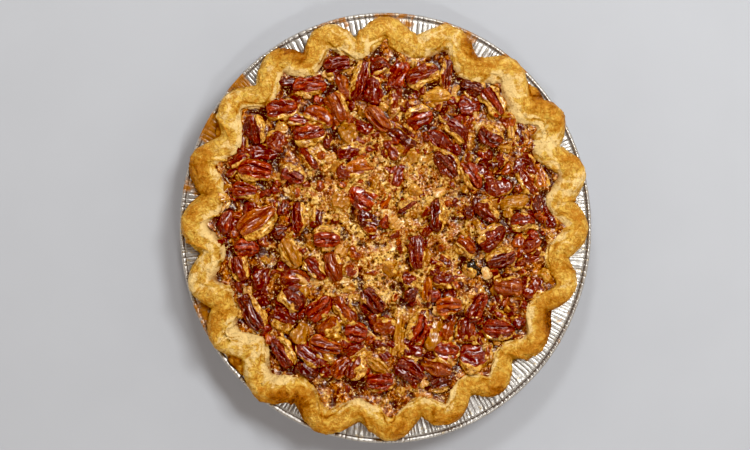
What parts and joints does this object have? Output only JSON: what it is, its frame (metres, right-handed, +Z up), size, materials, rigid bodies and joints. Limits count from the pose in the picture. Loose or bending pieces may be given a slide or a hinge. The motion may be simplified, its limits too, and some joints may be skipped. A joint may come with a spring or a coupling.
{
  "type": "pecan pie",
  "caption": "Whole open pecan pie in its own round foil tin, with a fluted rope crust and pecan halves set in a custard filling.",
  "frame": {"origin": "on the surface the tin stands on, under the middle of the tin", "axes": "+Z up, +Y towards the top of the pie as it is seen from above, +X to its right"},
  "size_m": [0.2236, 0.234, 0.0395],
  "materials": {
    "foil": "bright pleated foil",
    "pastry": "golden baked dough, satin",
    "custard": "caramel custard, glossy at the rim and foamy in the middle",
    "nut": "syrup-glazed pecan"
  },
  "bodies": {
    "root": {"tin": "foil", "crust": "pastry", "filling": "custard", "pecan_01": "nut", "pecan_02": "nut", "pecan_03": "nut", "pecan_04": "nut", "pecan_05": "nut", "pecan_06": "nut", "pecan_07": "nut", "pecan_08": "nut", "pecan_09": "nut", "pecan_10": "nut", "pecan_11": "nut", "pecan_12": "nut", "pecan_13": "nut", "pecan_14": "nut", "pecan_15": "nut", "pecan_16": "nut", "pecan_17": "nut", "pecan_18": "nut", "pecan_19": "nut", "pecan_20": "nut", "pecan_21": "nut", "pecan_22": "nut", "pecan_23": "nut", "pecan_24": "nut", "pecan_25": "nut", "pecan_26": "nut", "pecan_27": "nut", "pecan_28": "nut", "pecan_29": "nut", "pecan_30": "nut", "pecan_31": "nut", "pecan_32": "nut", "pecan_33": "nut", "pecan_34": "nut", "pecan_35": "nut", "pecan_36": "nut", "pecan_37": "nut", "pecan_38": "nut", "pecan_39": "nut", "pecan_40": "nut", "pecan_41": "nut", "pecan_42": "nut", "pecan_43": "nut", "pecan_44": "nut", "pecan_45": "nut", "pecan_46": "nut", "pecan_47": "nut", "pecan_48": "nut"}
  },
  "joints": []
}
